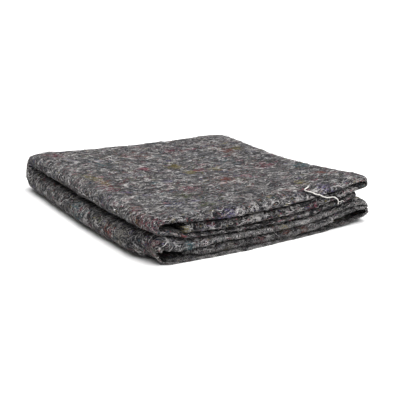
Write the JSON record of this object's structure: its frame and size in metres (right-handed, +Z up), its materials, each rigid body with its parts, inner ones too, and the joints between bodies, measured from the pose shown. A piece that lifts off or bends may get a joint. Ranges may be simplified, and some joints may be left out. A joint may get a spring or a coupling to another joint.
{
  "type": "folded moving blanket",
  "caption": "Recycled-felt moving blanket folded into a flat rectangular packet, open at the front and turned at the back.",
  "frame": {"origin": "centre of the packet's box, on the surface that it rests on, measured without the thread tail", "axes": "+Z up, +X along the open front from left to right, +Y from the open front to the back fold"},
  "size_m": [0.3352, 0.3875, 0.0598],
  "materials": {
    "recycled_felt": "matte heather-grey felt of mixed recycled fibres, with small coloured flecks and stitch lines",
    "edging_thread": "pale spun thread"
  },
  "bodies": {
    "root": {"blanket": "recycled_felt", "thread_tail": "edging_thread"}
  },
  "joints": []
}
